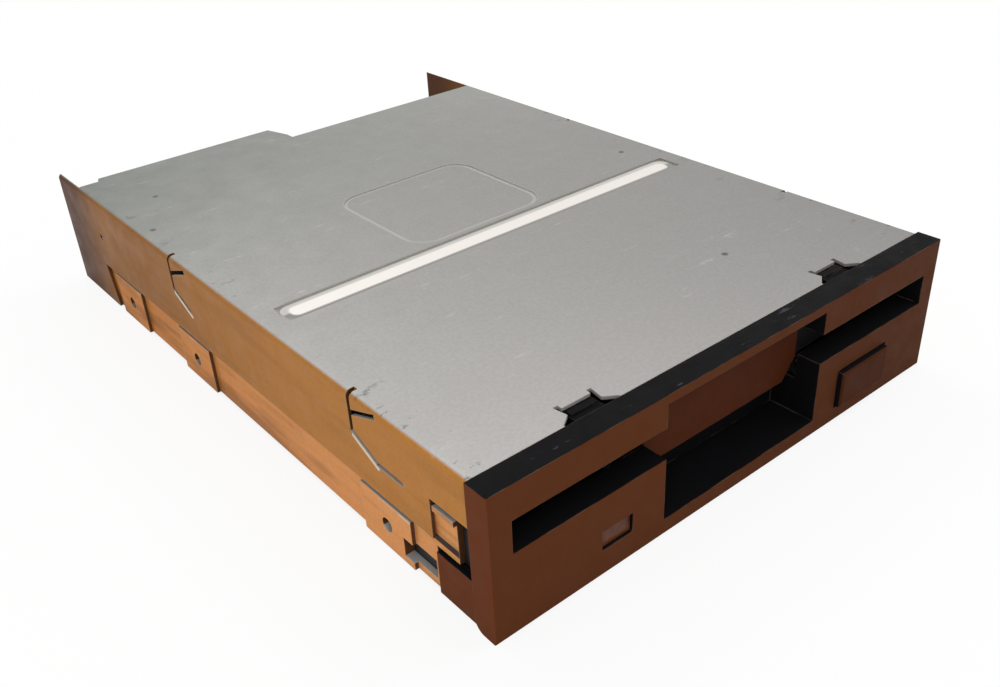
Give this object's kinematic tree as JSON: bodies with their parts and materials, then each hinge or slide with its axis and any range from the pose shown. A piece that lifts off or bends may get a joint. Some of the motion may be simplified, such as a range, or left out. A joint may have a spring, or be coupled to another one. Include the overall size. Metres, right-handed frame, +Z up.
{
  "type": "floppy disk drive",
  "caption": "Flat bay-mount disk drive with a slotted bezel, eject button, sheet-metal cover, spindle, stepping heads and a rear data plug.",
  "frame": {"origin": "middle of the overall box, at the bezel's lower edge", "axes": "+X to the right seen from the front, +Y from the bezel to the rear, +Z up"},
  "size_m": [0.1016, 0.151, 0.0254],
  "materials": {
    "bezel": "fine-textured moulded plastic",
    "cover": "zinc-plated sheet, satin",
    "frame": "zinc-plated sheet, satin",
    "slide_steel": "plated sheet, satin",
    "button": "moulded plastic",
    "spring": "spring wire",
    "door": "moulded plastic",
    "pin_steel": "ground steel",
    "lever": "natural acetal",
    "motor_plate": "steel board under green resist",
    "bronze": "sintered bronze",
    "rotor": "nickel-plated, turned",
    "magnet": "bonded ferrite",
    "seat": "moulded acetal",
    "core": "coated laminations",
    "copper": "enamelled copper wire",
    "chip": "epoxy package",
    "carriage": "glass-filled plastic",
    "ceramic": "polished ceramic",
    "arm": "stamped sheet",
    "support": "moulded plastic",
    "stepper": "plated can",
    "board": "green solder resist",
    "screw": "zinc-plated",
    "connector": "moulded plastic",
    "header": "natural nylon",
    "contact": "gold-flashed",
    "plunger": "moulded acetal",
    "led": "tinted epoxy",
    "lens": "smoke-tinted light guide",
    "flex": "polyimide film"
  },
  "bodies": {
    "base": {"front_bezel": "bezel", "top_cover": "cover", "chassis_frame": "frame", "eject_spring_left": "spring", "eject_spring_right": "spring", "door_hinge_pin": "pin_steel", "door_spring": "spring", "motor_board": "motor_plate", "spindle_bearing": "bronze", "stator_core": "core", "stator_coils": "copper", "motor_chip": "chip", "index_sensor": "chip", "guide_rods": "pin_steel", "rod_supports": "support", "screw_bearing": "support", "stepper_motor": "stepper", "stepper_bracket": "slide_steel", "track_sensor": "chip", "main_board": "board", "board_screws": "screw", "controller_chip": "chip", "small_parts": "chip", "data_connector": "connector", "data_pins": "contact", "power_connector": "header", "power_pins": "contact", "switch_boards": "board", "sensing_switches": "chip", "board_posts": "pin_steel", "activity_led": "led", "light_lens": "lens", "frame_screws": "screw", "motor_flex": "flex", "head_socket": "header", "head_flex": "flex"},
    "slider": {"eject_slider": "slide_steel", "eject_button": "button"},
    "holder": {"disk_holder": "slide_steel", "lift_pins": "pin_steel", "lever_post": "pin_steel", "lever_spring": "spring"},
    "shutter": {"shutter_lever": "lever"},
    "rotor": {"spindle_shaft": "pin_steel", "rotor_cup": "rotor", "rotor_magnet": "magnet", "disk_seat": "seat", "chuck_magnet": "magnet", "drive_pin": "pin_steel"},
    "carriage": {"head_carriage": "carriage", "lower_head": "ceramic", "arm_hinge_pin": "pin_steel", "arm_spring": "spring"},
    "head_arm": {"upper_head_arm": "arm", "upper_head": "ceramic"},
    "screw": {"lead_screw": "pin_steel"},
    "door": {"dust_door": "door"},
    "write_protect": {"write_protect_plunger": "plunger"},
    "disk_in": {"disk_in_plunger": "plunger"},
    "density": {"density_plunger": "plunger"}
  },
  "joints": [
    {"name": "eject_slide", "type": "slide", "parent": "base", "child": "slider", "axis": [0, -1, 0], "range_m": [0, 0.0055], "deforming": ["eject_spring_left", "eject_spring_right"]},
    {"name": "holder_drop", "type": "slide", "parent": "base", "child": "holder", "axis": [0, 0, -1], "range_m": [0, 0.0024]},
    {"name": "shutter_swing", "type": "hinge", "parent": "holder", "child": "shutter", "pos_m": [-0.036, 0.022, 0.0204], "axis": [0, 0, 1], "range_deg": [0, 54.7], "stiffness_Nm_per_rad": 0.004, "springref_deg": -17.19, "deforming": ["lever_spring"]},
    {"name": "spindle_spin", "type": "hinge", "parent": "base", "child": "rotor", "pos_m": [0, -0.0245, 0.0117], "axis": [0, 0, 1], "continuous": true},
    {"name": "head_slide", "type": "slide", "parent": "base", "child": "carriage", "axis": [0, -1, 0], "range_m": [0, 0.0148], "deforming": ["head_flex"]},
    {"name": "arm_lower", "type": "hinge", "parent": "carriage", "child": "head_arm", "pos_m": [0, 0.039, 0.019], "axis": [1, 0, 0], "range_deg": [0, 9.7], "deforming": ["arm_spring"]},
    {"name": "screw_spin", "type": "hinge", "parent": "base", "child": "screw", "pos_m": [-0.0225, 0.0175, 0.0096], "axis": [0, 1, 0], "range_deg": [0, 1421]},
    {"name": "door_swing", "type": "hinge", "parent": "base", "child": "door", "pos_m": [0, -0.0685, 0.0216], "axis": [1, 0, 0], "range_deg": [0, 85], "stiffness_Nm_per_rad": 0.004, "springref_deg": -17.19, "deforming": ["door_spring"]},
    {"name": "write_protect_press", "type": "slide", "parent": "base", "child": "write_protect", "axis": [0, 0, -1], "range_m": [0, 0.0017], "stiffness_N_per_m": 200, "springref_m": -0.002},
    {"name": "disk_in_press", "type": "slide", "parent": "base", "child": "disk_in", "axis": [0, 0, -1], "range_m": [0, 0.0017], "stiffness_N_per_m": 200, "springref_m": -0.002},
    {"name": "density_press", "type": "slide", "parent": "base", "child": "density", "axis": [0, 0, -1], "range_m": [0, 0.0017], "stiffness_N_per_m": 200, "springref_m": -0.002}
  ],
  "couplings": [
    {"joint": "holder_drop", "follows": "eject_slide", "ratio": 0.43636},
    {"joint": "arm_lower", "follows": "eject_slide", "rad_per_m": 30.78},
    {"joint": "screw_spin", "follows": "head_slide", "rad_per_m": 1675.5}
  ]
}
